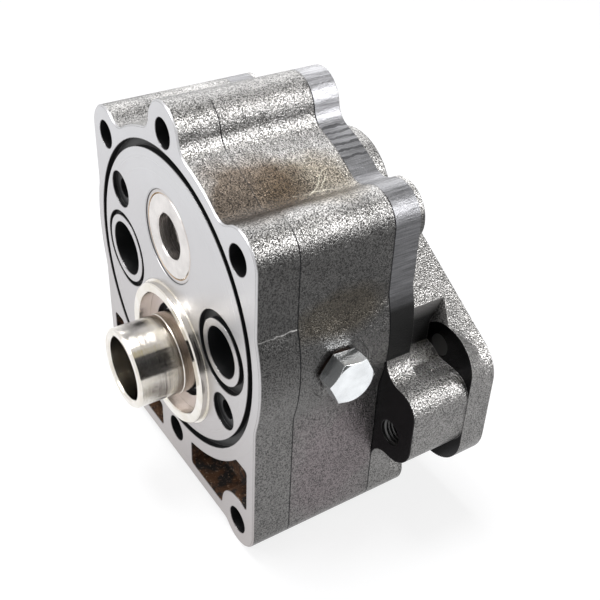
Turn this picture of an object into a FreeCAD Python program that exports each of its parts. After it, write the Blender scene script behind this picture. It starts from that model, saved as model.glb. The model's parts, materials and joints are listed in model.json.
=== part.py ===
import FreeCAD, Part
import math
import os
from FreeCAD import Vector

os.makedirs("parts", exist_ok=True)

# Transmission charging pump: an external gear pump with a hollow drive shaft.
# Millimetres. The origin is where the drive shaft's axis meets the mounting face.
# -Y points out of the mounting face, +Z points from the drive gear to the driven gear.

# Gears
gear_module = 5.08
gear_teeth = 12
pressure_angle = math.radians(25)
backlash = 0.20
root_fillet_r = 1.1
centre_distance = gear_module * gear_teeth
pitch_r = centre_distance / 2
tip_r = pitch_r + gear_module
root_r = pitch_r - 1.25 * gear_module
base_r = pitch_r * math.cos(pressure_angle)

# Running clearances
tip_clearance = 0.08
side_clearance = 0.05
journal_clearance = 0.04
slip_clearance = 0.02
thread_clearance = 0.05

# Stations along the pump, from the mounting face at y = 0 to the rear
cover_t = 18.7
housing_t = 43.6
plate_t = 12.5
split_1 = cover_t
split_2 = split_1 + housing_t
plate_back = split_2 + plate_t
boss_len = 22.5
boss_back = plate_back + boss_len
neck_len = 30.2
flange_t = 13.3
flange_back = plate_back + neck_len
flange_front = flange_back - flange_t

# Outline of the stacked sections, measured from the body's centre
mid_z = centre_distance / 2
chamber_r = tip_r + tip_clearance
body_wall = 9.38
body_r = mid_z + chamber_r + body_wall
ear_r = 13.3
bolt_inset = 17.0
bolt_x = body_r - bolt_inset
bolt_drop = 23.0
bolt_top_z = body_r - bolt_drop
bolt_out = 11.0
bolt_low_z = -body_r - bolt_out
pair_out = 2.5
pair_z = body_r + pair_out
side_x = bolt_x + ear_r
foot_wall = 8.7
bottom_z = bolt_low_z - foot_wall
valley_r = 9.0
side_blend_r = 16.0
foot_blend_r = 5.0
edge_chamfer = 0.6

# Holes that the mounting bolts pass through, M12
bolt_hole_r = 6.5

# Seal grooves and ports in the mounting face
ring_land = 5.5
ring_groove_r = body_r - ring_land
groove_w = 3.6
ring_groove_depth = 3.0
port_x = 44.9
port_groove_r = 18.6
port_groove_depth = 2.6
port_land = 3.4
pressure_port_r = 11.4
suction_port_r = 13.0
port_pocket_depth = 27.0
oil_x = 46.6
oil_z = 30.6
oil_hole_r = 4.5
oil_groove_r = 8.6
oil_groove_depth = 2.1
oil_hole_depth = 38.0

# Cored windows below the ring groove
window_depth = 14.0
window_wall = 6.0
window_in_x = 15.0
window_side_wall = 5.6
window_low_wall = 7.0
window_h = 38.2
window_side_x = side_x - window_side_wall
window_low_z = bottom_z + window_low_wall
window_top_z = window_low_z + window_h
window_corner_r = 2.0
bolt_boss_r = 13.8

# Pilot ring around the drive shaft
pilot_r = 33.5
pilot_wall = 4.7
pilot_in_r = pilot_r - pilot_wall
pilot_proud = 3.6
pilot_seat = 6.0
pilot_step = 1.0
pilot_seat_r = pilot_r + pilot_step
recess_depth = 3.0
recess_hole_depth = 3.2

# Shafts
journal_r = 19.0
coupling_r = 18.75
coupling_len = 20.7
shoulder_y = -4.3
shaft_front = shoulder_y - coupling_len
shaft_chamfer = 0.9
shaft_bore_r = 14.8
spline_teeth = 22
spline_major_r = 14.5
spline_minor_r = 13.3
spline_front = 4.0
spline_len = 32.0
relief_len = 8.0
oil_bore_r = 9.0
driven_bore_r = 10.15
driven_bore_len = 8.0
driven_recess = 0.5
journal_rear_len = 25.2

# Bushes in the covers
bush_wall = 1.5
bush_r = journal_r + bush_wall
bush_step = 1.9
recess_hole_r = bush_r + bush_step
rear_bush_len = 25.0
bush_end_gap = 2.2
rear_bore_depth = rear_bush_len + bush_end_gap
boss_wall = 6.5
boss_r = bush_r + boss_wall

# Keys and snap rings that hold the gears on the shafts
key_w = 5.0
key_h = 5.0
key_in_shaft = 3.0
key_len = 28.0
snap_t = 1.75
snap_in_shaft = 1.1
snap_out = 2.3
snap_r = journal_r + snap_out
snap_gap = 9.0
snap_room = 0.6
snap_pocket_r = snap_r + snap_room
snap_pocket_depth = 2.5

# Dowels between the sections
dowel_r = 3.0
dowel_len = 16.0
dowel_x = 28.0
dowel_z = 62.0

# Socket screws that hold the sections together, M8
screw_places = [(-62.0, 31.0), (-62.0, -38.0)]
screw_r = 4.0
screw_len = 62.0
screw_hole_r = 4.5
screw_head_r = 6.5
screw_head_h = 8.0
screw_socket_af = 6.0
screw_socket_depth = 4.0
screw_end_gap = 2.0
washer_rim = 0.9
washer_r = screw_head_r + washer_rim
washer_t = 1.6

# Pressure test plug on the side, M12
plug_y = 38.5
plug_z = -3.5
plug_af = 19.0
plug_head_h = 9.0
plug_tilt = -5.0
plug_thread_r = 6.0
plug_shank_len = 12.0
plug_seal_r = 9.4
plug_seal_t = 1.5
spot_r = 14.2
spot_depth = 1.7
spot_face_x = body_r - spot_depth
plug_end_gap = 1.0

# Rear cover: the slope above the port block, the lug and the port flange
slope_x = 41.65
slope_z = 21.6
slope_angle = math.radians(31.1)
ledge_x = 66.8
rim_t = 5.2
lobe_left_x = 62.0
lobe_top_z = 0.0
lobe_corner_r = 1.5
flange_side_x = 97.2
flange_top_r = 17.0
flange_low_z = -71.8
flange_low_r = 19.0
flange_left_x = 33.0
flange_left_r = 6.0
lug_side_x = 96.9
lug_low_z = -57.2
lug_top_z = -17.9
lug_corner_r = 10.0
lug_blend_r = 10.0
lug_hole_x = 82.9
lug_hole_z = -43.6
lug_hole_r = 6.0
lug_hole_depth = 15.0
top_boss_h = 2.0
low_boss_h = 8.0
neck_r = 24.5
boss_edge_r = 1.5

# Rear port, four-bolt flange pattern for a 25 mm pipe
rear_port_x = 62.0
rear_port_z = -38.0
rear_port_r = 12.5
rear_port_depth = 19.0
rear_groove_r = 19.5
rear_groove_w = 3.4
rear_groove_depth = 2.6
rear_bolt_dx = 26.2
rear_bolt_dz = 52.4
rear_bolt_r = 5.0
rear_bolt_depth = 11.0
bolt_relief_r = 11.5


def rod(radius, y0, y1, x=0.0, z=0.0):
    return Part.makeCylinder(radius, y1 - y0, Vector(x, y0, z), Vector(0, 1, 0))


def tube(outer, inner, y0, y1, x=0.0, z=0.0):
    return rod(outer, y0, y1, x, z).cut(rod(inner, y0, y1, x, z))


def cone(r0, r1, y0, y1, x=0.0, z=0.0):
    return Part.makeCone(r0, r1, y1 - y0, Vector(x, y0, z), Vector(0, 1, 0))


def cut_all(solid, cuts):
    for cut in cuts:
        solid = solid.cut(cut)
    return solid


def outline(corners):
    # A closed wire through the corners (x, z, radius), each rounded to its radius.
    edges = []
    ends = []
    count = len(corners)
    for i, (x, z, radius) in enumerate(corners):
        here = Vector(x, 0, z)
        before = Vector(corners[i - 1][0], 0, corners[i - 1][1]) - here
        after = Vector(corners[(i + 1) % count][0], 0, corners[(i + 1) % count][1]) - here
        before.normalize()
        after.normalize()
        half = before.getAngle(after) / 2
        reach = radius / math.tan(half)
        start = here + before * reach
        stop = here + after * reach
        if radius > 0:
            middle = before + after
            middle.normalize()
            middle = here + middle * (radius / math.sin(half) - radius)
            edges.append(Part.Arc(start, middle, stop).toShape())
        ends.append((start, stop))
    for i in range(count):
        edges.append(Part.makeLine(ends[i - 1][1], ends[i][0]))
    return Part.Wire(Part.__sortEdges__(edges))


def prism(corners, y0, y1):
    face = Part.Face(outline(corners))
    face.translate(Vector(0, y0, mid_z))
    return face.extrude(Vector(0, y1 - y0, 0))


def is_upright(edge):
    # True for a straight edge that runs along the pump.
    if not isinstance(edge.Curve, Part.Line):
        return False
    return abs(edge.Curve.Direction.y) > 0.999


def sharp_edges(solid):
    # Edges along the pump where the two faces beside them meet at an angle.
    found = []
    for edge in solid.Edges:
        if not is_upright(edge):
            continue
        faces = solid.ancestorsOfType(edge, Part.Face)
        if len(faces) != 2:
            continue
        point = edge.valueAt((edge.FirstParameter + edge.LastParameter) / 2)
        normals = []
        for face in faces:
            u, v = face.Surface.parameter(point)
            normals.append(face.normalAt(u, v))
        if normals[0].getAngle(normals[1]) > math.radians(8):
            found.append(edge)
    return found


def section_face():
    # Outline shared by the front cover, the gear housing and the rear plate.
    body = rod(body_r, 0, 1, 0, mid_z)
    block = [(-side_x, bolt_top_z, 0), (side_x, bolt_top_z, 0), (side_x, bolt_low_z, 0)]
    block += [(bolt_x, bottom_z, 0), (-bolt_x, bottom_z, 0), (-side_x, bolt_low_z, 0)]
    ears = [rod(ear_r, 0, 1, x, mid_z + z) for x, z in corner_bolts()]
    ears.append(rod(ear_r, 0, 1, 0, mid_z + pair_z))
    solid = body.multiFuse([prism(block, 0, 1)] + ears).removeSplitter()
    valleys = []
    sides = []
    feet = []
    for edge in sharp_edges(solid):
        height = edge.CenterOfMass.z - mid_z
        if height > body_r / 2:
            valleys.append(edge)
        elif height > -body_r / 2:
            sides.append(edge)
        else:
            feet.append(edge)
    middle = [edge.CenterOfMass for edge in sides]
    low = [edge.CenterOfMass for edge in feet]
    solid = solid.makeFillet(valley_r, valleys)
    solid = solid.makeFillet(side_blend_r, edges_at(solid, middle))
    solid = solid.makeFillet(foot_blend_r, edges_at(solid, low))
    return [face for face in solid.Faces if face.CenterOfMass.y < 0.001][0]


def edges_at(solid, points):
    found = []
    for edge in solid.Edges:
        if is_upright(edge) and any(edge.CenterOfMass.distanceToPoint(p) < 0.01 for p in points):
            found.append(edge)
    return found


def corner_bolts():
    return [(side * bolt_x, z) for z in (bolt_top_z, bolt_low_z) for side in (-1, 1)]


def through_bolts():
    return corner_bolts() + [(0.0, pair_z), (0.0, -pair_z)]


def bolt_holes(y0, y1):
    return [rod(bolt_hole_r, y0 - 1, y1 + 1, x, mid_z + z) for x, z in through_bolts()]


def section(y0, y1):
    face = section_face()
    face.translate(Vector(0, y0, 0))
    return face.extrude(Vector(0, y1 - y0, 0))


def chamfered(solid, plane_y):
    # Breaks the outer edge of a section where it meets the plane y = plane_y.
    rim = [face for face in solid.Faces if abs(face.CenterOfMass.y - plane_y) < 0.001]
    return solid.makeChamfer(edge_chamfer, rim[0].OuterWire.Edges)


def dowel_places():
    return [(-dowel_x, mid_z + dowel_z), (dowel_x, mid_z - dowel_z)]


def dowels(split):
    pins = []
    for x, z in dowel_places():
        pin = rod(dowel_r, split - dowel_len / 2, split + dowel_len / 2, x, z)
        ends = [edge for edge in pin.Edges if isinstance(edge.Curve, Part.Circle)]
        pins.append(pin.makeChamfer(edge_chamfer, ends))
    return pins


def dowel_holes(split):
    depth = dowel_len / 2 + slip_clearance
    return [rod(dowel_r + slip_clearance, split - depth, split + depth, x, z) for x, z in dowel_places()]


def screw_holes(radius, y0, y1):
    return [rod(radius, y0, y1, x, mid_z + z) for x, z in screw_places]


def window(side):
    # One cored window, with the ring groove's wall above it and a bolt's boss in its corner.
    corners = [(window_in_x, window_low_z, 0), (window_side_x, window_low_z, 0)]
    corners += [(window_side_x, window_top_z, 0), (window_in_x, window_top_z, 0)]
    hole = prism([(side * x, z, r) for x, z, r in corners], 0, window_depth)
    walls = [rod(ring_groove_r + window_wall, -1, window_depth + 1, 0, mid_z)]
    walls.append(rod(bolt_boss_r, -1, window_depth + 1, side * bolt_x, mid_z + bolt_low_z))
    hole = hole.cut(walls[0]).cut(walls[1])
    hole = max(hole.Solids, key=lambda solid: solid.Volume)
    return hole.makeFillet(window_corner_r, [edge for edge in hole.Edges if is_upright(edge)])


def front_cover():
    cover = chamfered(section(0, split_1), 0)
    cuts = bolt_holes(0, split_1)
    cuts.append(tube(ring_groove_r, ring_groove_r - groove_w, -1, ring_groove_depth, 0, mid_z))
    for side, radius in ((1, pressure_port_r), (-1, suction_port_r)):
        cuts.append(rod(radius, -1, split_1 + 1, side * port_x, mid_z))
        land = radius + port_land
        cuts.append(tube(port_groove_r, land, -1, port_groove_depth, side * port_x, mid_z))
        cuts.append(rod(oil_groove_r, -1, oil_groove_depth, side * oil_x, mid_z - side * oil_z))
        cuts.append(rod(oil_hole_r, -1, split_1 + 1, side * oil_x, mid_z - side * oil_z))
        cuts.append(window(side))
    cuts.append(rod(pilot_in_r, -1, recess_depth))
    cuts.append(tube(pilot_seat_r, pilot_in_r, -1, pilot_seat))
    cuts.append(rod(recess_hole_r, 0, recess_depth + recess_hole_depth))
    cuts.append(rod(bush_r, 0, split_1 + 1))
    cuts.append(rod(bush_r, -1, split_1 + 1, 0, centre_distance))
    cuts.append(cone(bush_r + edge_chamfer, bush_r, 0, edge_chamfer, 0, centre_distance))
    cuts += dowel_holes(split_1)
    thread_end = plate_back + washer_t - screw_len - screw_end_gap
    cuts += screw_holes(screw_r + thread_clearance, thread_end, split_1 + 1)
    return cut_all(cover, cuts)


def pilot_ring():
    ring = rod(pilot_r, -pilot_proud, 0).fuse(rod(pilot_seat_r, 0, pilot_seat))
    ring = ring.cut(rod(pilot_in_r, -pilot_proud - 1, pilot_seat + 1))
    front = [face for face in ring.Faces if face.CenterOfMass.y < -pilot_proud + 0.001][0]
    return ring.makeChamfer(edge_chamfer, front.Edges)


def gear_chamber(y0, y1):
    return rod(chamber_r, y0, y1).fuse(rod(chamber_r, y0, y1, 0, centre_distance))


def port_pocket(side, radius):
    # Passage in the gear housing from the chamber's waist out to a port.
    end = rod(radius, split_1 - 1, split_1 + port_pocket_depth, side * port_x, mid_z)
    near = Vector(min(0, side * port_x), split_1 - 1, mid_z - radius)
    channel = Part.makeBox(port_x, port_pocket_depth + 1, 2 * radius, near)
    return end.fuse(channel)


def plug_bore():
    # Spot face and tapped hole of the test plug, drilled in from the side.
    start = Vector(spot_face_x, plug_y, mid_z + plug_z)
    spot = Part.makeCylinder(spot_r, body_r, start, Vector(1, 0, 0))
    depth = plug_shank_len + plug_end_gap
    hole_r = plug_thread_r + thread_clearance
    inner = Part.makeCylinder(hole_r, depth, start - Vector(depth, 0, 0), Vector(1, 0, 0))
    return spot.fuse(inner)


def gear_housing():
    housing = section(split_1, split_2)
    cuts = bolt_holes(split_1, split_2)
    cuts.append(gear_chamber(split_1 - 1, split_2 + 1))
    cuts.append(port_pocket(1, pressure_port_r))
    cuts.append(port_pocket(-1, suction_port_r))
    for side in (-1, 1):
        oil_end = split_1 + oil_hole_depth - cover_t
        cuts.append(rod(oil_hole_r, split_1 - 1, oil_end, side * oil_x, mid_z - side * oil_z))
    cuts.append(plug_bore())
    cuts += dowel_holes(split_1) + dowel_holes(split_2)
    cuts += screw_holes(screw_hole_r, split_1 - 1, split_2 + 1)
    return cut_all(housing, cuts)


def slope_at(x):
    return slope_z - (x - slope_x) * math.tan(slope_angle)


def rear_body():
    # The casting behind the plate, in one outline: along the slope, down the ledge, out
    # along the top of the bolt lug and round its side.
    corners = [(0, slope_at(0), 0), (ledge_x, slope_at(ledge_x), 0), (ledge_x, lug_top_z, 0)]
    corners += [(lug_side_x, lug_top_z, lug_corner_r), (lug_side_x, lug_low_z, ear_r)]
    corners += [(0, lug_low_z, 0)]
    return prism(corners, split_2, flange_front)


def lobe_wire(left_z, left_r, side_z, y):
    # Outline of the flange beside the slope, for one end of the loft between them.
    corners = [(lobe_left_x, rear_port_z, 0), (lobe_left_x, left_z, left_r)]
    corners += [(flange_side_x, side_z, flange_top_r), (flange_side_x, flange_low_z, flange_low_r)]
    corners += [(flange_left_x, flange_low_z, flange_left_r), (flange_left_x, rear_port_z, 0)]
    wire = outline(corners)
    wire.translate(Vector(0, y, mid_z))
    return wire


def port_flange():
    # The flange starts as a rounded lobe and widens to the rim, which follows the slope.
    rim_front = flange_back - rim_t
    front = lobe_wire(lobe_top_z, flange_top_r, lobe_top_z, flange_front)
    back = lobe_wire(slope_at(lobe_left_x), lobe_corner_r, slope_at(flange_side_x), rim_front)
    top = [(flange_left_x, slope_at(flange_left_x), 0)]
    under_ledge = [(ledge_x, slope_at(ledge_x), 0), (ledge_x, rear_port_z, 0), (flange_left_x, rear_port_z, 0)]
    rim = [(flange_side_x, slope_at(flange_side_x), flange_top_r), (flange_side_x, flange_low_z, flange_low_r)]
    rim.append((flange_left_x, flange_low_z, flange_left_r))
    parts = [Part.makeLoft([front, back], True, True)]
    parts.append(prism(top + under_ledge, flange_front, rim_front))
    parts.append(prism(top + rim, rim_front, flange_back))
    return parts


def bearing_boss(z):
    boss = rod(boss_r, split_2, boss_back, 0, z)
    end = [face for face in boss.Faces if face.CenterOfMass.y > boss_back - 0.001][0]
    return boss.makeFillet(boss_edge_r, end.Edges)


def rear_port_cuts():
    z = mid_z + rear_port_z
    cuts = [rod(rear_port_r, flange_back - rear_port_depth, flange_back + 1, rear_port_x, z)]
    inner = rear_groove_r - rear_groove_w
    cuts.append(tube(rear_groove_r, inner, flange_back - rear_groove_depth, flange_back + 1, rear_port_x, z))
    for dx in (-rear_bolt_dx / 2, rear_bolt_dx / 2):
        for dz in (-rear_bolt_dz / 2, rear_bolt_dz / 2):
            start = flange_back - rear_bolt_depth
            cuts.append(rod(rear_bolt_r, start, flange_back + 1, rear_port_x + dx, z + dz))
    return cuts


def rear_cover():
    cover = section(split_2, plate_back).fuse(rear_body()).removeSplitter()
    middle = (split_2 + plate_back) / 2
    over_lug = Vector(math.sqrt(body_r ** 2 - lug_top_z ** 2), middle, mid_z + lug_top_z)
    under_lug = Vector(side_x, middle, mid_z + lug_low_z)
    cover = cover.makeFillet(lug_blend_r, edges_at(cover, [over_lug, under_lug]))
    parts = [bearing_boss(0), bearing_boss(centre_distance)]
    parts.append(rod(neck_r, split_2, flange_back, rear_port_x, mid_z + rear_port_z))
    parts += port_flange()
    for x, z in corner_bolts():
        height = top_boss_h if z > 0 else low_boss_h
        parts.append(rod(ear_r, split_2, plate_back + height, x, mid_z + z))
    cover = cover.multiFuse(parts).removeSplitter()
    cuts = bolt_holes(split_2, plate_back + low_boss_h)
    for x, z in through_bolts():
        cuts.append(rod(bolt_relief_r, plate_back + low_boss_h, flange_back + 1, x, mid_z + z))
    for z in (0.0, centre_distance):
        cuts.append(rod(bush_r, split_2 - 1, split_2 + rear_bore_depth, 0, z))
    lug_z = mid_z + lug_hole_z
    cuts.append(rod(lug_hole_r, split_2 - 1, split_2 + lug_hole_depth, lug_hole_x, lug_z))
    cuts += rear_port_cuts()
    cuts += dowel_holes(split_2)
    cuts += screw_holes(screw_hole_r, split_2 - 1, plate_back + 1)
    return cut_all(cover, cuts)


def assembly_screws():
    screws = []
    seat = plate_back + washer_t
    for x, z in screw_places:
        shank = rod(screw_r, seat - screw_len, seat, x, mid_z + z)
        head = rod(screw_head_r, seat, seat + screw_head_h, x, mid_z + z)
        top = [face for face in head.Faces if face.CenterOfMass.y > seat + screw_head_h - 0.001][0]
        head = head.makeChamfer(edge_chamfer, top.Edges)
        socket_r = screw_socket_af / 2 / math.cos(math.pi / 6)
        socket = hexagon(socket_r, Vector(x, seat + screw_head_h, mid_z + z), Vector(0, -1, 0), 0)
        screws.append(shank.fuse(head).cut(socket.extrude(Vector(0, -screw_socket_depth, 0))))
    return screws


def screw_washers():
    return [tube(washer_r, screw_hole_r, plate_back, plate_back + washer_t, x, mid_z + z) for x, z in screw_places]


def hexagon(radius, centre, direction, turn):
    points = []
    for i in range(7):
        angle = math.radians(60 * i + turn)
        points.append(Vector(radius * math.cos(angle), radius * math.sin(angle), 0))
    face = Part.Face(Part.makePolygon(points))
    face.Placement = FreeCAD.Placement(centre, FreeCAD.Rotation(Vector(0, 0, 1), direction))
    return face


def test_plug():
    # Hex head with its outer corners turned off by a cone, on a plain threaded shank.
    seat = Vector(spot_face_x + plug_seal_t, plug_y, mid_z + plug_z)
    corner_r = plug_af / 2 / math.cos(math.pi / 6)
    head = hexagon(corner_r, Vector(0, 0, 0), Vector(0, 0, 1), 90 + plug_tilt)
    head = head.extrude(Vector(0, 0, plug_head_h))
    taper = math.tan(math.radians(30))
    apex = plug_head_h + plug_af / 2 * taper
    head = head.common(Part.makeCone(apex / taper, 0, apex))
    head.Placement = FreeCAD.Placement(seat, FreeCAD.Rotation(Vector(0, 0, 1), Vector(1, 0, 0)))
    shank = Part.makeCylinder(plug_thread_r, plug_shank_len + plug_seal_t, seat, Vector(-1, 0, 0))
    return head.fuse(shank)


def test_plug_seal():
    start = Vector(spot_face_x, plug_y, mid_z + plug_z)
    outer = Part.makeCylinder(plug_seal_r, plug_seal_t, start, Vector(1, 0, 0))
    hole_r = plug_thread_r + thread_clearance
    return outer.cut(Part.makeCylinder(hole_r, plug_seal_t, start, Vector(1, 0, 0)))


def bush(y0, y1, z):
    return tube(bush_r, journal_r + journal_clearance, y0, y1, 0, z)


def flank_angle(radius):
    # Half the angle that a tooth fills at this radius, from the involute of the base circle.
    at_radius = math.acos(base_r / radius)
    at_pitch = math.tan(pressure_angle) - pressure_angle
    half_tooth = math.pi / (2 * gear_teeth) - backlash / (4 * pitch_r)
    return half_tooth + at_pitch - (math.tan(at_radius) - at_radius)


def polar(radius, angle):
    return Vector(radius * math.cos(angle), 0, radius * math.sin(angle))


def flank(middle, side):
    radii = [base_r + (tip_r - base_r) * step / 4 for step in range(5)]
    curve = Part.BSplineCurve()
    curve.interpolate([polar(r, middle + side * flank_angle(r)) for r in radii])
    return curve.toShape()


def gear_blank():
    edges = []
    pitch = 2 * math.pi / gear_teeth
    foot = flank_angle(base_r)
    land = flank_angle(tip_r)
    for tooth in range(gear_teeth):
        middle = math.pi / 2 + tooth * pitch
        for side in (-1, 1):
            edges.append(flank(middle, side))
            angle = middle + side * foot
            edges.append(Part.makeLine(polar(root_r, angle), polar(base_r, angle)))
        ends = [polar(tip_r, middle - land), polar(tip_r, middle), polar(tip_r, middle + land)]
        edges.append(Part.Arc(*ends).toShape())
        gap = middle + pitch / 2
        ends = [polar(root_r, middle + foot), polar(root_r, gap), polar(root_r, middle + pitch - foot)]
        edges.append(Part.Arc(*ends).toShape())
    wire = Part.Wire(Part.__sortEdges__(edges))
    width = housing_t - 2 * side_clearance
    blank = Part.Face(wire).extrude(Vector(0, width, 0))
    roots = []
    for edge in blank.Edges:
        axis_distance = math.hypot(edge.CenterOfMass.x, edge.CenterOfMass.z)
        if is_upright(edge) and abs(axis_distance - root_r) < 0.01:
            roots.append(edge)
    blank = blank.makeFillet(root_fillet_r, roots)
    blank.translate(Vector(0, split_1 + side_clearance, 0))
    return blank


def key_box(clearance, y0, y1):
    low = journal_r - key_in_shaft - clearance
    near = Vector(-key_w / 2 - clearance, y0 - clearance, low)
    return Part.makeBox(key_w + 2 * clearance, y1 - y0 + 2 * clearance, key_h + 2 * clearance, near)


def key_ends():
    middle = split_1 + housing_t / 2
    return middle - key_len / 2, middle + key_len / 2


def gear():
    solid = gear_blank()
    front = split_1 + side_clearance
    back = split_2 - side_clearance
    solid = solid.cut(rod(journal_r + slip_clearance, split_1 - 1, split_2 + 1))
    solid = solid.cut(rod(snap_pocket_r, front - 1, front + snap_pocket_depth))
    solid = solid.cut(rod(snap_pocket_r, back - snap_pocket_depth, back + 1))
    return solid.cut(key_box(slip_clearance, split_1 - 1, split_2 + 1))


def snap_seats():
    # Front ends of the two snap rings, each against the floor of its pocket in the gear.
    front = split_1 + side_clearance + snap_pocket_depth - snap_t
    back = split_2 - side_clearance - snap_pocket_depth
    return [front, back]


def snap_rings():
    rings = []
    for y in snap_seats():
        ring = tube(snap_r, journal_r - snap_in_shaft + slip_clearance, y, y + snap_t)
        near = Vector(-snap_gap / 2, y - 1, -snap_r - 1)
        rings.append(ring.cut(Part.makeBox(snap_gap, snap_t + 2, snap_r, near)))
    return rings


def shaft_blank(front, back):
    # Journal with both ends chamfered, the key's slot and the snap rings' grooves.
    solid = rod(journal_r, front, back)
    ends = [edge for edge in solid.Edges if isinstance(edge.Curve, Part.Circle)]
    solid = solid.makeChamfer(edge_chamfer, ends)
    for y in snap_seats():
        solid = solid.cut(tube(journal_r + 1, journal_r - snap_in_shaft, y - slip_clearance, y + snap_t + slip_clearance))
    return solid.cut(key_box(slip_clearance, *key_ends()))


def spline_cut():
    # The shaft's internal spline: a bore to the minor radius and one slot for each tooth.
    y0 = spline_front - 1
    y1 = spline_front + spline_len + 1
    pitch = 2 * math.pi / spline_teeth
    points = []
    for tooth in range(spline_teeth):
        middle = tooth * pitch
        points.append(polar(spline_minor_r, middle - 0.36 * pitch))
        points.append(polar(spline_major_r, middle - 0.18 * pitch))
        points.append(polar(spline_major_r, middle + 0.18 * pitch))
        points.append(polar(spline_minor_r, middle + 0.36 * pitch))
    face = Part.Face(Part.makePolygon(points + points[:1]))
    face.translate(Vector(0, y0, 0))
    return face.extrude(Vector(0, y1 - y0, 0))


def shaft_back():
    return split_2 + journal_rear_len


def drive_shaft():
    solid = shaft_blank(shoulder_y, shaft_back())
    nose = rod(coupling_r, shaft_front, shoulder_y + 1)
    front = [face for face in nose.Faces if face.CenterOfMass.y < shaft_front + 0.001][0]
    solid = solid.fuse(nose.makeChamfer(shaft_chamfer, front.Edges))
    relief = spline_front + spline_len
    solid = solid.cut(rod(shaft_bore_r, shaft_front - 1, spline_front))
    solid = solid.cut(cone(shaft_bore_r + shaft_chamfer, shaft_bore_r, shaft_front, shaft_front + shaft_chamfer))
    solid = solid.cut(spline_cut())
    solid = solid.cut(rod(shaft_bore_r, relief, relief + relief_len))
    return solid.cut(rod(oil_bore_r, relief, shaft_back() + 1))


def drive_shaft_plug():
    # Cup plug that closes the hollow shaft behind the spline.
    back = spline_front + spline_len + relief_len
    cup = rod(shaft_bore_r, back - relief_len / 2, back)
    hollow = rod(shaft_bore_r - bush_wall, back - relief_len / 2 - 1, back - bush_wall)
    return cup.cut(hollow)


def driven_shaft():
    solid = shaft_blank(driven_recess, shaft_back())
    bore_end = driven_recess + driven_bore_len
    solid = solid.cut(rod(driven_bore_r, driven_recess - 1, bore_end))
    solid = solid.cut(cone(driven_bore_r + edge_chamfer, driven_bore_r, driven_recess, driven_recess + edge_chamfer))
    return solid.cut(rod(oil_bore_r, bore_end - 1, shaft_back() + 1))


def on_driven_axis(shape):
    # The driven rotor is half a tooth round, so that a gap meets the drive gear's tooth.
    placed = shape.copy()
    placed.rotate(Vector(0, 0, 0), Vector(0, 1, 0), 180 / gear_teeth)
    placed.translate(Vector(0, 0, centre_distance))
    return placed


def save(name, shapes):
    if not isinstance(shapes, list):
        shapes = [shapes]
    solids = [solid for shape in shapes for solid in shape.Solids]
    whole = solids[0] if len(solids) == 1 else Part.makeCompound(solids)
    whole.exportStep(os.path.join("parts", name + ".step"))


bush_front = recess_depth + recess_hole_depth

save("front_cover", front_cover())
save("pilot_ring", pilot_ring())
save("gear_housing", gear_housing())
save("rear_cover", rear_cover())
save("front_dowels", dowels(split_1))
save("rear_dowels", dowels(split_2))
save("assembly_screws", assembly_screws())
save("screw_washers", screw_washers())
save("test_plug", test_plug())
save("test_plug_seal", test_plug_seal())
save("front_drive_bush", bush(bush_front, split_1, 0))
save("rear_drive_bush", bush(split_2, split_2 + rear_bush_len, 0))
save("front_driven_bush", bush(edge_chamfer, split_1, centre_distance))
save("rear_driven_bush", bush(split_2, split_2 + rear_bush_len, centre_distance))
save("drive_shaft", drive_shaft())
save("drive_shaft_plug", drive_shaft_plug())
save("drive_gear", gear())
save("drive_key", key_box(0, *key_ends()))
save("drive_snap_rings", snap_rings())
save("driven_shaft", on_driven_axis(driven_shaft()))
save("driven_gear", on_driven_axis(gear()))
save("driven_key", on_driven_axis(key_box(0, *key_ends())))
save("driven_snap_rings", [on_driven_axis(ring) for ring in snap_rings()])
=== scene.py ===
import json
import math

import bmesh
import bpy
from mathutils import Matrix, Vector


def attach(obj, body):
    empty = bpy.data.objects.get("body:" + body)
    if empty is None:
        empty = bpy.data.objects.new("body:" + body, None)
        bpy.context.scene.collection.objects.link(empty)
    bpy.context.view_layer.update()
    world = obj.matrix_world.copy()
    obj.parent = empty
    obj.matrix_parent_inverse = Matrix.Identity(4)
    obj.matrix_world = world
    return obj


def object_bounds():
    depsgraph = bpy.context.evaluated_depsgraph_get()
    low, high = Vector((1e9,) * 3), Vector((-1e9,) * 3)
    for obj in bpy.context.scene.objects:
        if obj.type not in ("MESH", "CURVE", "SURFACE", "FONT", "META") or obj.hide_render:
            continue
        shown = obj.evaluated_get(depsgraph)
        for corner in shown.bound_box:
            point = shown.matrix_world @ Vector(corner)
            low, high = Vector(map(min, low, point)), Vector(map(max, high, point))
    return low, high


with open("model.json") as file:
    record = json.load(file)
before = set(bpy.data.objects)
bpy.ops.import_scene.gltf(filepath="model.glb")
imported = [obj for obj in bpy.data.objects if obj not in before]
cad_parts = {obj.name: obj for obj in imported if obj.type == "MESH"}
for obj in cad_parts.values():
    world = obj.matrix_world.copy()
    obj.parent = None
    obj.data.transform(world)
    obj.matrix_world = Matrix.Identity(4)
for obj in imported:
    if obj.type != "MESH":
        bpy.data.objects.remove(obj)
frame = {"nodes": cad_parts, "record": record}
nodes = frame["nodes"]
cad_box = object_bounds()
scene = bpy.context.scene
scene.view_settings.view_transform = "Standard"

# Camera
# It stands to the right of the pump's mounting face and above it, as far off as the photograph's
# perspective asks, and looks down at the drive shaft, the side plug and the bolt lug.
camera_data = bpy.data.cameras.new("camera")
camera_data.lens = 57.78
camera_data.sensor_width = 36.0
camera = bpy.data.objects.new("camera", camera_data)
scene.collection.objects.link(camera)
camera.matrix_world = Matrix((
    (0.54435, -0.50690, 0.66838, 0.312215),
    (0.83798, 0.29222, -0.46086, -0.146567),
    (0.03829, 0.81096, 0.58384, 0.276627),
    (0.0, 0.0, 0.0, 1.0),
))
scene.camera = camera

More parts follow.
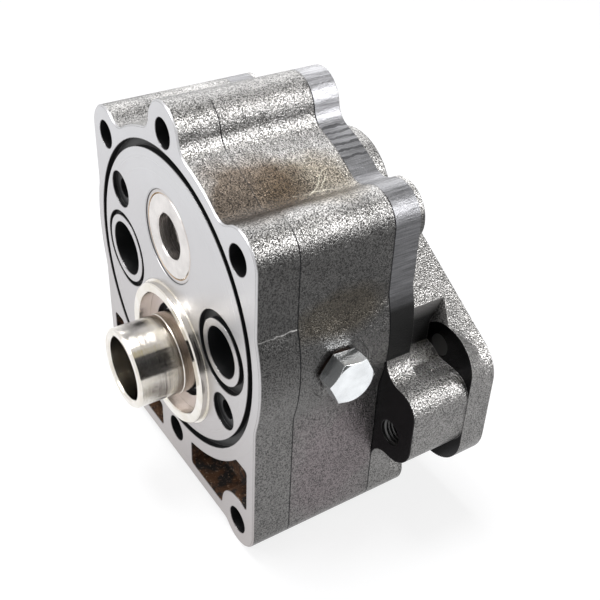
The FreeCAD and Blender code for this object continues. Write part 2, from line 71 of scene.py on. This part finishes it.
# Floor
# A plain pale sheet under the pump, which stands on the two rounded ears at its foot.
# It shows white where the light reaches it and keeps the pump's soft shadow.
floor_reach = 4.0
floor_grey = (0.26, 0.26, 0.265)
floor_glow = 0.82

floor_mesh = bpy.data.meshes.new("floor")
floor = bpy.data.objects.new("floor", floor_mesh)
scene.collection.objects.link(floor)
sheet = bmesh.new()
bmesh.ops.create_grid(sheet, x_segments=1, y_segments=1, size=floor_reach)
bmesh.ops.translate(sheet, verts=sheet.verts, vec=(0, 0, cad_box[0][2]))
sheet.to_mesh(floor_mesh)
sheet.free()


def new_material(name, colour, metallic, roughness):
    material = bpy.data.materials.new(name)
    material.use_nodes = True
    shader = material.node_tree.nodes["Principled BSDF"]
    shader.inputs["Base Color"].default_value = (*colour, 1)
    shader.inputs["Metallic"].default_value = metallic
    shader.inputs["Roughness"].default_value = roughness
    return material, material.node_tree, shader


def feed(tree, value, socket):
    if isinstance(value, bpy.types.NodeSocket):
        tree.links.new(value, socket)
    else:
        socket.default_value = value


def calc(tree, operation, *values):
    step = tree.nodes.new("ShaderNodeMath")
    step.operation = operation
    for value, socket in zip(values, step.inputs):
        feed(tree, value, socket)
    return step.outputs[0]


def greatest(tree, first, *others):
    for other in others:
        first = calc(tree, "MAXIMUM", first, other)
    return first


def shown_white(tree):
    # 1 for what the camera sees directly, in a reflection or through glass.
    ray = tree.nodes.new("ShaderNodeLightPath").outputs
    return greatest(tree, ray["Is Camera Ray"], ray["Is Glossy Ray"], ray["Is Transmission Ray"])


def either_shader(tree, factor, first, second, out):
    pick = tree.nodes.new("ShaderNodeMixShader")
    tree.links.new(factor, pick.inputs[0])
    tree.links.new(first, pick.inputs[1])
    tree.links.new(second, pick.inputs[2])
    tree.links.new(pick.outputs[0], out)


floor_paint, tree, shader = new_material("pale_sheet", floor_grey, metallic=0.0, roughness=0.9)
shader.inputs["Specular IOR Level"].default_value = 0.0
glow = tree.nodes.new("ShaderNodeEmission")
glow.inputs["Strength"].default_value = floor_glow
bright = tree.nodes.new("ShaderNodeAddShader")
tree.links.new(shader.outputs[0], bright.inputs[0])
tree.links.new(glow.outputs[0], bright.inputs[1])
either_shader(tree, shown_white(tree), shader.outputs[0], bright.outputs[0],
              tree.nodes["Material Output"].inputs["Surface"])
floor_mesh.materials.append(floor_paint)

# Studio light
# A white room with lamps behind the pump on both sides, whose glints run along the shoulders and
# tops of the oily castings, one overhead that casts the shadow and a weak one before the mounting
# face. Black and straw-coloured cards show in reflections only, and band the polished steel.
room_strength = 0.30
lamps_aim = (0, 0.05, 0.03)
ceiling_z = 0.9
strip_y = 0.345
right_x = 0.58
wall_x = 0.8
straw = (0.44, 0.355, 0.09)
card_black = (0.01, 0.01, 0.01)
unlit = (0, 0, 0)

world = bpy.data.worlds.new("studio")
scene.world = world
world.use_nodes = True
tree = world.node_tree
room = tree.nodes["Background"]
room.inputs["Color"].default_value = (1, 1, 1, 1)
room.inputs["Strength"].default_value = room_strength
backdrop = tree.nodes.new("ShaderNodeBackground")
backdrop.inputs["Color"].default_value = (1, 1, 1, 1)
either_shader(tree, shown_white(tree), room.outputs[0], backdrop.outputs[0],
              tree.nodes["World Output"].inputs["Surface"])


def lamp(name, place, width, height, power):
    data = bpy.data.lights.new(name, "AREA")
    data.shape = "RECTANGLE"
    data.size = width
    data.size_y = height
    data.energy = power
    item = bpy.data.objects.new(name, data)
    scene.collection.objects.link(item)
    item.location = place
    item.rotation_euler = (Vector(lamps_aim) - Vector(place)).to_track_quat("-Z", "Y").to_euler()
    return item


lamp("back_right", (0.86, 0.59, 0.76), width=0.5, height=0.4, power=24).visible_diffuse = False
lamp("back_left", (-0.80, 0.62, 0.80), width=0.9, height=0.9, power=13).visible_diffuse = False
lamp("low_right", (1.05, 0.50, 0.06), width=0.5, height=0.4, power=1.5).visible_diffuse = False
lamp("overhead", (-0.22, 0.0, 1.25), width=0.5, height=0.5, power=12)
lamp("front", (-0.30, -0.80, 0.60), width=0.6, height=0.4, power=3)


def card(name, low, high, colour):
    # A flat panel between two corners, level or facing along X, that shows in reflections only.
    low, high = Vector(low), Vector(high)
    panel = bmesh.new()
    bmesh.ops.create_grid(panel, x_segments=1, y_segments=1, size=0.5)
    if low.x == high.x:
        upright = Matrix.Rotation(math.pi / 2, 3, "Y")
        bmesh.ops.rotate(panel, verts=panel.verts, cent=(0, 0, 0), matrix=upright)
    bmesh.ops.scale(panel, verts=panel.verts, vec=high - low)
    bmesh.ops.translate(panel, verts=panel.verts, vec=(low + high) / 2)
    mesh = bpy.data.meshes.new(name)
    panel.to_mesh(mesh)
    panel.free()
    item = bpy.data.objects.new(name, mesh)
    scene.collection.objects.link(item)
    item.visible_camera = False
    item.visible_diffuse = False
    item.visible_shadow = False
    material, tree, shader = new_material(name, card_black, metallic=0.0, roughness=1.0)
    shader.inputs["Emission Color"].default_value = (*colour, 1)
    shader.inputs["Emission Strength"].default_value = 1.0
    mesh.materials.append(material)


card("ceiling_back", (-0.50, strip_y, ceiling_z), (2.0, 0.56, ceiling_z), unlit)
card("ceiling_right", (right_x, -0.90, ceiling_z), (2.0, strip_y, ceiling_z), unlit)
card("ceiling_left", (-0.50, 0.05, 0.5), (-0.18, 0.20, 0.5), unlit)
card("ceiling_straw", (0.24, -0.20, ceiling_z), (right_x, strip_y, ceiling_z), straw)
card("wall", (wall_x, -0.70, -0.068), (wall_x, 0.33, ceiling_z), unlit)

# Front cover
# Grey iron from a sand mould. The skin is coarse and dark with oil, the mounting face is milled
# and lapped bright, and the seal grooves, ports and bolt holes cut into it are painted black as shade.

# The materials' places and sizes are in mm. Only the radii of soft edges and the depths of relief
# and of tool marks are in metres.
body_z = 30.48
driven_z = 60.96
front_joint = 18.7
rear_joint = 62.3
joint_gap = 0.28
bolt_places = ((58.5, 52.5), (58.5, -86.5), (0, 78), (0, -78))
bolt_hole_reach = 6.8
face_depth = 0.75
cut_depth = 0.3
face_ring_reach = 70.3
recess_reach, recess_depth = 30.0, 3.4
window_reach, window_depth = 68.5, 14.5
window_foot, window_top = body_z - 92.0, body_z - 49.0
seam_z = body_z + 22.6
saddle_stain = ((38, 18, body_z + 65), (1.0, 0.8, 0.6), 11)
iron_metallic = 0.85
iron_edge_radius = 0.0005
skin_dark = (0.014, 0.0137, 0.0134)
skin_light = (0.225, 0.22, 0.215)
oil_brown = (0.44, 0.36, 0.29)
oil_olive = (0.88, 0.80, 0.67)
oil_plum = (1.06, 0.95, 1.00)
joint_black_and_hollow_shade = (0.006, 0.006, 0.007)
worn_edge = (0.30, 0.29, 0.28)
seam_bright = (0.50, 0.49, 0.48)
milled_high = (0.61, 0.61, 0.625)
milled_foot_shade = (0.42, 0.39, 0.385)
milled_smear = (0.30, 0.28, 0.27)
face_edge_shade = (0.12, 0.12, 0.12)
recess_warm = (0.60, 0.52, 0.50)
window_rust = (0.11, 0.050, 0.022)
window_black = (0.012, 0.009, 0.008)
window_flake = (0.50, 0.36, 0.26)


def product(tree, first, *others):
    for other in others:
        first = calc(tree, "MULTIPLY", first, other)
    return first


def plus(tree, first, second):
    return calc(tree, "ADD", first, second)


def minus(tree, first, second):
    return calc(tree, "SUBTRACT", first, second)


def above(tree, value, limit):
    return calc(tree, "GREATER_THAN", value, limit)


def below(tree, value, limit):
    return calc(tree, "LESS_THAN", value, limit)


def between(tree, value, low, high):
    return product(tree, above(tree, value, low), below(tree, value, high))


def unsigned(tree, value):
    return calc(tree, "ABSOLUTE", value)


def mix(tree, factor, first, second):
    step = tree.nodes.new("ShaderNodeMix")
    step.data_type = "RGBA"
    feed(tree, factor, step.inputs["Factor"])
    for value, socket in ((first, step.inputs["A"]), (second, step.inputs["B"])):
        feed(tree, value if isinstance(value, bpy.types.NodeSocket) else (*value, 1), socket)
    return step.outputs["Result"]


def noise(tree, vector, scale, detail=3.0, roughness=0.55, distortion=0.0):
    step = tree.nodes.new("ShaderNodeTexNoise")
    step.inputs["Scale"].default_value = scale
    step.inputs["Detail"].default_value = detail
    step.inputs["Roughness"].default_value = roughness
    step.inputs["Distortion"].default_value = distortion
    tree.links.new(vector, step.inputs["Vector"])
    return step.outputs["Fac"]


def ramp(tree, value, low, high, to_low=0.0, to_high=1.0):
    step = tree.nodes.new("ShaderNodeMapRange")
    feed(tree, value, step.inputs["Value"])
    step.inputs["From Min"].default_value = low
    step.inputs["From Max"].default_value = high
    step.inputs["To Min"].default_value = to_low
    step.inputs["To Max"].default_value = to_high
    return step.outputs["Result"]


def spread(tree, cloud, low, high):
    # A noise keeps mostly between 0.3 and 0.7, and is spread over the range from low to high.
    return ramp(tree, cloud, 0.3, 0.7, low, high)


def stretched(tree, place, scale):
    step = tree.nodes.new("ShaderNodeMapping")
    step.inputs["Scale"].default_value = scale
    tree.links.new(place, step.inputs["Vector"])
    return step.outputs[0]


def millimetres(tree):
    # Object coordinates in mm, whole and as x, y, z, and the way that the surface faces.
    place = tree.nodes.new("ShaderNodeTexCoord")
    scale = tree.nodes.new("ShaderNodeVectorMath")
    scale.operation = "SCALE"
    scale.inputs["Scale"].default_value = 1000
    tree.links.new(place.outputs["Object"], scale.inputs[0])
    parts = tree.nodes.new("ShaderNodeSeparateXYZ")
    tree.links.new(scale.outputs[0], parts.inputs[0])
    facing = tree.nodes.new("ShaderNodeSeparateXYZ")
    tree.links.new(place.outputs["Normal"], facing.inputs[0])
    return scale.outputs[0], parts.outputs, facing.outputs


def distance_to(tree, x, z, centre_x, centre_z):
    # Distance in mm from an axis along Y.
    flat = tree.nodes.new("ShaderNodeCombineXYZ")
    feed(tree, x, flat.inputs[0])
    feed(tree, z, flat.inputs[2])
    away = tree.nodes.new("ShaderNodeVectorMath")
    away.operation = "DISTANCE"
    tree.links.new(flat.outputs[0], away.inputs[0])
    away.inputs[1].default_value = (centre_x, 0, centre_z)
    return away.outputs["Value"]


def near_axis(tree, x, z, centre_x, centre_z, radius):
    # 1 inside a circle around an axis along Y, else 0.
    return below(tree, distance_to(tree, x, z, centre_x, centre_z), radius)


def soft_edge(tree, radius):
    # The surface's direction with its edges rounded, and how strongly each place is an edge.
    rounded = tree.nodes.new("ShaderNodeBevel")
    rounded.samples = 6
    rounded.inputs["Radius"].default_value = radius
    flat = tree.nodes.new("ShaderNodeNewGeometry")
    same = tree.nodes.new("ShaderNodeVectorMath")
    same.operation = "DOT_PRODUCT"
    tree.links.new(rounded.outputs[0], same.inputs[0])
    tree.links.new(flat.outputs["Normal"], same.inputs[1])
    return rounded.outputs[0], ramp(tree, same.outputs["Value"], 0.995, 0.90)


def bump(tree, height, distance, under):
    step = tree.nodes.new("ShaderNodeBump")
    step.inputs["Distance"].default_value = distance
    tree.links.new(height, step.inputs["Height"])
    tree.links.new(under, step.inputs["Normal"])
    return step.outputs[0]


class Iron:
    # A casting's material, built up from its skin; each later coat covers part of it.
    def __init__(self, name, tone=1.0, relief=0.00062):
        self.metal = iron_metallic
        self.material, tree, self.shader = new_material(name, skin_dark, iron_metallic, 0.4)
        self.tree = tree
        self.relief = relief
        self.place, (self.x, self.y, self.z), self.facing = millimetres(tree)
        self.edge_normal, self.edge = soft_edge(tree, iron_edge_radius)
        grain = noise(tree, self.place, scale=1.5, detail=1.5, roughness=0.6, distortion=0.25)
        lumps = noise(tree, self.place, scale=0.25, roughness=0.5)
        self.patches = noise(tree, self.place, scale=0.035, distortion=0.3)

        # Specks of grain, weaker on the upright sides, where worn patches join them.
        upright = ramp(tree, unsigned(tree, self.facing[0]), 0.75, 0.95)
        worn = product(tree, ramp(tree, lumps, 0.35, 0.65), upright, 0.12)
        speck = product(tree, ramp(tree, grain, 0.38, 0.57), ramp(tree, upright, 0, 1, 0.75, 0.60))
        shade = plus(tree, plus(tree, speck, worn), product(tree, self.patches, 0.25))
        skin = mix(tree, shade, [tone * c for c in skin_dark], [tone * c for c in skin_light])

        # Painted light and shade: the upright sides are painted darker above the middle and lighter below
        # it, and the casting is painted lighter towards its top. It turns darker again at the top ear's
        # crest.
        ragged_z = plus(tree, self.z, spread(tree, lumps, -5, 5))
        low = ramp(tree, ragged_z, body_z + 14, body_z - 14, 0.55, 1.30)
        low = plus(tree, product(tree, upright, low), minus(tree, 1.0, upright))
        patchy_z = plus(tree, self.z, spread(tree, self.patches, -6, 6))
        high = ramp(tree, patchy_z, body_z + 60, body_z + 72, 1.0, 1.8)
        crest = ramp(tree, self.z, body_z + 82, body_z + 90, 1.0, 0.55)
        self.colour = self.scaled(skin, product(tree, low, high, crest))
        self.rough = spread(tree, lumps, 0.27, 0.37)
        self.height = plus(tree, product(tree, grain, 0.6), product(tree, lumps, 0.8))

    def scaled(self, colour, factor):
        step = self.tree.nodes.new("ShaderNodeVectorMath")
        step.operation = "SCALE"
        self.tree.links.new(colour, step.inputs[0])
        feed(self.tree, factor, step.inputs["Scale"])
        return step.outputs[0]

    def stain(self, centre, stretch, reach, tint):
        # A ragged blot of oil, solid inside the reach in mm from its centre and gone at twice that.
        tree = self.tree
        away = tree.nodes.new("ShaderNodeVectorMath")
        away.operation = "DISTANCE"
        tree.links.new(stretched(tree, self.place, stretch), away.inputs[0])
        away.inputs[1].default_value = [a * b for a, b in zip(centre, stretch)]
        fray = spread(tree, self.patches, -0.4 * reach, 0.4 * reach)
        ragged = plus(tree, away.outputs["Value"], fray)
        oily = tree.nodes.new("ShaderNodeVectorMath")
        oily.operation = "MULTIPLY"
        tree.links.new(self.colour, oily.inputs[0])
        oily.inputs[1].default_value = tint
        self.colour = mix(tree, ramp(tree, ragged, 2 * reach, reach), self.colour, oily.outputs[0])

    def tinted(self, mask, colour):
        self.colour = mix(self.tree, mask, self.colour, colour)

    def coat(self, mask, colour, metallic, roughness, smooth=1.0):
        tree = self.tree
        self.tinted(mask, colour)
        rest = minus(tree, 1.0, mask)
        self.rough = plus(tree, product(tree, self.rough, rest), product(tree, mask, roughness))
        self.metal = plus(tree, product(tree, mask, metallic), product(tree, self.metal, rest))
        self.height = product(tree, self.height, minus(tree, 1.0, product(tree, mask, smooth)))

    def bolt_holes(self):
        # 1 inside the six holes that the mounting bolts pass through.
        side_x = unsigned(self.tree, self.x)
        return greatest(self.tree, *[near_axis(self.tree, side_x, self.z, x, body_z + z, bolt_hole_reach)
                                     for x, z in bolt_places])

    def finish(self, node):
        # Pale worn edges and the dark joint lines come last, over every coat.
        tree = self.tree
        self.tinted(product(tree, self.edge, 0.2), worn_edge)
        to_front = unsigned(tree, minus(tree, self.y, front_joint))
        to_rear = unsigned(tree, minus(tree, self.y, rear_joint))
        joint = below(tree, calc(tree, "MINIMUM", to_front, to_rear), joint_gap)
        seen = ramp(tree, unsigned(tree, self.facing[0]), 0.2, 0.9, 0.25, 1.0)
        self.tinted(product(tree, joint, seen), joint_black_and_hollow_shade)
        tree.links.new(self.colour, self.shader.inputs["Base Color"])
        tree.links.new(self.rough, self.shader.inputs["Roughness"])
        tree.links.new(self.metal, self.shader.inputs["Metallic"])
        normal = bump(tree, self.height, self.relief, self.edge_normal)
        tree.links.new(normal, self.shader.inputs["Normal"])
        nodes[node].data.materials.clear()
        nodes[node].data.materials.append(self.material)


cover = Iron("cover_iron", tone=0.92, relief=0.0005)
tree = cover.tree
cover.stain(*saddle_stain, oil_brown)

# The mould's parting line runs across the cover's side, bright and a little wavy.
waver = spread(tree, noise(tree, cover.place, scale=0.35, detail=2.0, roughness=0.5), -0.35, 0.35)
seam = unsigned(tree, plus(tree, minus(tree, cover.z, seam_z), waver))
seam = product(tree, ramp(tree, seam, 0.40, 0.10), ramp(tree, cover.y, 1.0, 17.0, 0.15, 0.85),
               between(tree, cover.y, 1.0, 18.3), above(tree, cover.facing[0], 0.7))
cover.tinted(seam, seam_bright)

# The mounting face, lapped in fine rings. It is painted darker towards its foot and along its edges, a
# painted shade that also damps the edges' highlights.
face = below(tree, cover.y, face_depth)
rings = tree.nodes.new("ShaderNodeCombineXYZ")
feed(tree, distance_to(tree, cover.x, cover.z, 0, body_z), rings.inputs[0])
turned = noise(tree, rings.outputs[0], scale=1.6, detail=2.0, roughness=0.6)
milled = mix(tree, ramp(tree, cover.z, body_z - 95, body_z + 60), milled_foot_shade, milled_high)
milled = mix(tree, ramp(tree, cover.patches, 0.35, 0.75, 0.0, 0.10), milled, milled_smear)
cover.coat(face, milled, metallic=1.0, roughness=spread(tree, turned, 0.26, 0.36))
# Painted shade along the mounting face's edges.
cover.tinted(product(tree, cover.edge, face, 0.85), face_edge_shade)

# Grooves, ports and holes are painted black as shade, the recess round the shaft is bright, the cored
# windows rusty.
bores = greatest(tree, near_axis(tree, cover.x, cover.z, 0, body_z, face_ring_reach), cover.bolt_holes())
cut = product(tree, bores, above(tree, cover.y, cut_depth))
cover.coat(cut, joint_black_and_hollow_shade, metallic=0.0, roughness=0.5)
recess = product(tree, near_axis(tree, cover.x, cover.z, 0, 0, recess_reach),
                 between(tree, cover.y, cut_depth, recess_depth))
cover.coat(recess, recess_warm, metallic=1.0, roughness=0.28)
cored = product(tree, below(tree, unsigned(tree, cover.x), window_reach),
                between(tree, cover.z, window_foot, window_top),
                between(tree, cover.y, cut_depth, window_depth), minus(tree, 1.0, bores))
scale_marks = noise(tree, cover.place, scale=0.16, roughness=0.6, distortion=0.4)
rust = mix(tree, ramp(tree, scale_marks, 0.44, 0.58), window_rust, window_black)
flakes = ramp(tree, noise(tree, cover.place, scale=0.9, roughness=0.65, distortion=0.5), 0.61, 0.66)
rust = mix(tree, product(tree, flakes, 0.8), rust, window_flake)
cover.coat(cored, rust, metallic=0.0, roughness=0.7, smooth=0.2)
cover.finish("front_cover")

# Gear housing
# The middle casting, a little coarser than the cover. Oil has stained its saddle above the plug
# and its side, and bright scratches cross the saddle. Its joint faces are ground bright, and its
# chamber, its ports and its bolt holes are painted black inside as shade.
scratches = ((36.0, 51.0, 45.5, 39.5), (43.5, 33.0, 46.5, 58.5), (38.0, 52.0, 42.5, 46.0))
scratch_bright = (0.42, 0.40, 0.33)
joint_ground = (0.50, 0.49, 0.49)
chamber_reach = 37.0
port_x = 44.9
port_reach = 13.2

housing = Iron("housing_iron")
tree = housing.tree
housing.stain(*saddle_stain, oil_brown)
housing.stain((42, 44, body_z + 63), (1.0, 0.7, 1.0), 10, oil_olive)
housing.stain((72, 38, body_z + 24), (0.5, 0.45, 1.0), 6, oil_olive)
housing.stain((74, 40, body_z - 58), (0.5, 0.8, 0.6), 13, oil_plum)

# Each scratch runs over the top from (x0, y0) to (x1, y1) and wanders off its line in places.
wander = noise(tree, housing.place, scale=0.12, detail=2.0, roughness=0.5)
for x0, y0, x1, y1 in scratches:
    length = math.hypot(x1 - x0, y1 - y0)
    along_x, along_y = (x1 - x0) / length, (y1 - y0) / length
    from_x, from_y = minus(tree, housing.x, x0), minus(tree, housing.y, y0)
    run = plus(tree, product(tree, from_x, along_x), product(tree, from_y, along_y))
    off = minus(tree, product(tree, from_x, along_y), product(tree, from_y, along_x))
    off = unsigned(tree, plus(tree, off, spread(tree, wander, -1.2, 1.2)))
    line = product(tree, ramp(tree, off, 0.30, 0.10), between(tree, run, 0.0, length),
                   ramp(tree, wander, 0.40, 0.55), above(tree, housing.facing[2], 0.3))
    housing.tinted(product(tree, line, 0.55), scratch_bright)

flat = above(tree, unsigned(tree, housing.facing[1]), 0.95)
housing.coat(flat, joint_ground, metallic=1.0, roughness=0.30)
# Painted shade: the chamber, the ports and the bolt holes are coloured black.
hollows = greatest(tree, near_axis(tree, housing.x, housing.z, 0, 0, chamber_reach),
                   near_axis(tree, housing.x, housing.z, 0, driven_z, chamber_reach),
                   near_axis(tree, unsigned(tree, housing.x), housing.z, port_x, body_z, port_reach),
                   housing.bolt_holes())
housing.coat(hollows, joint_black_and_hollow_shade, metallic=0.0, roughness=0.5)
housing.finish("gear_housing")

# Rear cover
# The rear casting carries the lug and the port flange. Its plate's edge and the lug's front are
# ground smooth with the joint; the wheel left short dark chatter marks across the edge.
face_margin, back_margin = 0.2, 0.1
plate_back = 74.8
flange_front = 91.7
flange_back = 105.0
before_back = flange_back - back_margin
ledge_in, ledge_out = 66.4, 67.2
chatter_from, chatter_to = 17.0, 35.0
lug_x, lug_z = 82.9, body_z - 43.6
lug_inner_x = 60.0
lug_hole_reach, lug_hole_end = 6.1, 80.0
flange_bore_reach, flange_bore_end = 19.6, 84.0
tapped_reach, tapped_end = 5.1, 90.0
flange_port_x, flange_port_z = 62, body_z - 38
flange_bolts = [(x, body_z + z) for x, z in ((48.9, -64.2), (75.1, -64.2), (48.9, -11.8), (75.1, -11.8))]
ground_dark = (0.075, 0.075, 0.078)
ground_light = (0.17, 0.17, 0.178)
chatter_dark = (0.025, 0.025, 0.027)
painted_shade_black = (0.012, 0.012, 0.012)
ledge_light = (0.40, 0.39, 0.385)
lug_front_shade = (0.035, 0.035, 0.037)
flange_bright = (0.56, 0.55, 0.555)
port_grey = (0.10, 0.10, 0.10)

# Painted light: the rear casting's skin is 1.2 times lighter than the housing's, for the light on its lug
# and flange.
rear = Iron("rear_iron", tone=1.2)
tree = rear.tree

# The plate's ground edge, brushed across and chattered near the top. It is painted lighter towards
# the top ear as painted light, and black lower down as painted shade.
off_lug = greatest(tree, above(tree, rear.z, body_z - 9.0), below(tree, rear.x, lug_inner_x))
rim = product(tree, between(tree, rear.y, rear_joint + face_margin, plate_back - back_margin), off_lug)
brushed = noise(tree, stretched(tree, rear.place, (1.1, 0.06, 1.1)), scale=1.0, detail=2.0, roughness=0.6)
wander = noise(tree, rear.place, scale=0.3, detail=1.0, roughness=0.5)
beat = calc(tree, "SINE", product(tree, plus(tree, rear.x, product(tree, wander, 2.0)), 2.0))
struck = product(tree, ramp(tree, beat, 0.25, 0.65), between(tree, rear.x, chatter_from, chatter_to),
                 above(tree, rear.z, body_z + 60))
ground = mix(tree, spread(tree, brushed, 0, 1), ground_dark, ground_light)
ground = rear.scaled(ground, ramp(tree, rear.z, body_z + 70, body_z + 78, 1.0, 1.5))
ground = mix(tree, product(tree, struck, 0.75), ground, chatter_dark)
ground = mix(tree, ramp(tree, rear.z, body_z + 26, body_z + 15), ground, painted_shade_black)
rear.coat(rim, ground, metallic=0.9, roughness=0.45, smooth=0.6)

# The ledge beside the slope, the fronts of lug and flange lobe, and the flange's machined back. The
# ledge is painted black towards its foot and the fronts near black, both painted shade.
ledge = product(tree, between(tree, rear.x, ledge_in, ledge_out),
                between(tree, rear.y, plate_back + face_margin, before_back),
                above(tree, rear.facing[0], 0.9))
ledge_shade = mix(tree, ramp(tree, rear.z, body_z - 1, body_z + 6), painted_shade_black, ledge_light)
rear.coat(ledge, ledge_shade, metallic=0.2, roughness=0.5, smooth=0.2)
lug_face = product(tree, below(tree, rear.y, rear_joint + face_margin), above(tree, rear.x, lug_inner_x))
lobe_face = product(tree, between(tree, rear.y, flange_front - face_margin, flange_front + face_margin),
                    below(tree, rear.facing[1], -0.9))
rear.coat(greatest(tree, lug_face, lobe_face), lug_front_shade, metallic=1.0, roughness=0.25)
rear.coat(above(tree, rear.y, before_back), flange_bright, metallic=1.0, roughness=0.30)

# The port, its bolt holes and the lug's hole are drilled grey, the mounting bolts' holes painted black as
# shade.
flange_bore = near_axis(tree, rear.x, rear.z, flange_port_x, flange_port_z, flange_bore_reach)
flange_bore = product(tree, flange_bore, between(tree, rear.y, flange_bore_end, before_back))
tapped = greatest(tree, *[near_axis(tree, rear.x, rear.z, x, z, tapped_reach) for x, z in flange_bolts])
tapped = product(tree, tapped, between(tree, rear.y, tapped_end, before_back))
lug_bore = product(tree, near_axis(tree, rear.x, rear.z, lug_x, lug_z, lug_hole_reach),
                   between(tree, rear.y, rear_joint + face_margin, lug_hole_end))
rear.coat(greatest(tree, flange_bore, tapped, lug_bore), port_grey, metallic=0.8, roughness=0.35)
rear.coat(rear.bolt_holes(), joint_black_and_hollow_shade, metallic=0.0, roughness=0.5)
rear.finish("rear_cover")

# Tapped holes
# The threads that a tap cut into the lug and into the four holes of the port flange. Each is a
# V-shaped helical ridge on the hole's wall, in the casting's own iron.
steps_per_turn = 20


def thread(name, x, z, front, depth, outer, inner, pitch):
    # A triangle spun down the hole. Sizes are in mm: the front is where the hole starts along Y.
    turns = int(depth / pitch) - 1
    ridge = bmesh.new()
    width = pitch * 0.88
    corners = [(outer, 0), (inner, width / 2), (outer, width)]
    lead_in = front + pitch * 0.3
    start = ridge.faces.new([ridge.verts.new((r / 1000, (lead_in + y) / 1000, 0)) for r, y in corners])
    bmesh.ops.spin(ridge, geom=[start] + list(start.edges) + list(start.verts), cent=(0, 0, 0),
                   axis=(0, 1, 0), dvec=(0, pitch / 1000 / steps_per_turn, 0),
                   angle=2 * math.pi * turns, steps=steps_per_turn * turns, use_duplicate=False)
    bmesh.ops.remove_doubles(ridge, verts=ridge.verts, dist=1e-7)
    bmesh.ops.holes_fill(ridge, edges=ridge.edges, sides=3)
    bmesh.ops.recalc_face_normals(ridge, faces=ridge.faces)
    bmesh.ops.translate(ridge, verts=ridge.verts, vec=(x / 1000, 0, z / 1000))
    mesh = bpy.data.meshes.new(name)
    ridge.to_mesh(mesh)
    ridge.free()
    item = bpy.data.objects.new(name, mesh)
    scene.collection.objects.link(item)
    mesh.materials.append(rear.material)
    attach(item, "housing")


thread("lug_thread", lug_x, lug_z, front=rear_joint, depth=13.0, outer=6.05, inner=5.1, pitch=1.75)
for number, (bolt_x, bolt_z) in enumerate(flange_bolts):
    thread("flange_thread_%d" % (number + 1), bolt_x, bolt_z, front=94.4, depth=10.4, outer=5.05,
           inner=4.2, pitch=1.5)

# Pilot ring, shafts, gears and fittings
# Turned and ground steel. The pilot ring and the coupling end of the drive shaft are polished,
# the driven shaft's end is ground, and the gears and keys inside are ground along their length.
steel_edge_radius = 0.0003
bush_reach = 19.2


def metal(name, colour, roughness, marks, depth, tint=None, ring=None, metallic=1.0):
    # marks is "turned" for rings around the pump's axes, "ground" for fine lines along them. A ring
    # gives another colour outside a radius in mm from both shafts' axes.
    material, tree, shader = new_material(name, colour, metallic, roughness)
    place, (x, _, z), _ = millimetres(tree)
    scale = (0.01, 6, 0.01) if marks == "turned" else (3, 0.08, 3)
    lines = noise(tree, stretched(tree, place, scale), scale=1.0, detail=2.0, roughness=0.6)
    patches = noise(tree, place, scale=0.12, roughness=0.5, distortion=0.2)
    shade = tint or [0.8 * c for c in colour]
    base = mix(tree, ramp(tree, patches, 0.35, 0.7), colour, shade)
    if ring is not None:
        radius, outside = ring
        away = calc(tree, "MINIMUM", distance_to(tree, x, z, 0, 0), distance_to(tree, x, z, 0, driven_z))
        base = mix(tree, above(tree, away, radius), base, outside)
    normal, edge = soft_edge(tree, steel_edge_radius)
    base = mix(tree, product(tree, edge, 0.5), base, [min(1, 1.25 * c) for c in colour])
    tree.links.new(base, shader.inputs["Base Color"])
    streaks = spread(tree, lines, roughness * 0.8, roughness * 1.25)
    tree.links.new(streaks, shader.inputs["Roughness"])
    tree.links.new(bump(tree, lines, depth, normal), shader.inputs["Normal"])
    return material


finishes = {
    "polished_steel": metal("polished_steel", (0.80, 0.77, 0.73), 0.09, "turned", 0.00004,
                            tint=(0.72, 0.68, 0.60)),
    "ground_steel": metal("ground_steel", (0.74, 0.71, 0.69), 0.24, "turned", 0.00003),
    "gear_steel": metal("gear_steel", (0.50, 0.50, 0.51), 0.30, "ground", 0.00004),
    "key_steel": metal("key_steel", (0.55, 0.55, 0.56), 0.35, "ground", 0.00004),
    "spring_steel": metal("spring_steel", (0.10, 0.095, 0.10), 0.40, "turned", 0.00004),
    "dowel_steel": metal("dowel_steel", (0.62, 0.62, 0.63), 0.25, "turned", 0.00003),
    "pressed_steel": metal("pressed_steel", (0.45, 0.44, 0.42), 0.38, "turned", 0.00005),
    "black_steel": metal("black_steel", (0.05, 0.05, 0.052), 0.42, "ground", 0.00006),
    "bush_bronze": metal("bush_bronze", (0.62, 0.44, 0.26), 0.30, "turned", 0.00004,
                         ring=(bush_reach, (0.55, 0.53, 0.53))),
    "zinc_plate": metal("zinc_plate", (0.94, 0.97, 0.99), 0.19, "ground", 0.00002, metallic=0.90),
    "copper": metal("copper", (0.05, 0.035, 0.03), 0.45, "turned", 0.00005),
}
for row in frame["record"]["subparts"]:
    if row["material_slot"] in finishes:
        nodes[row["node"]].data.materials.clear()
        nodes[row["node"]].data.materials.append(finishes[row["material_slot"]])
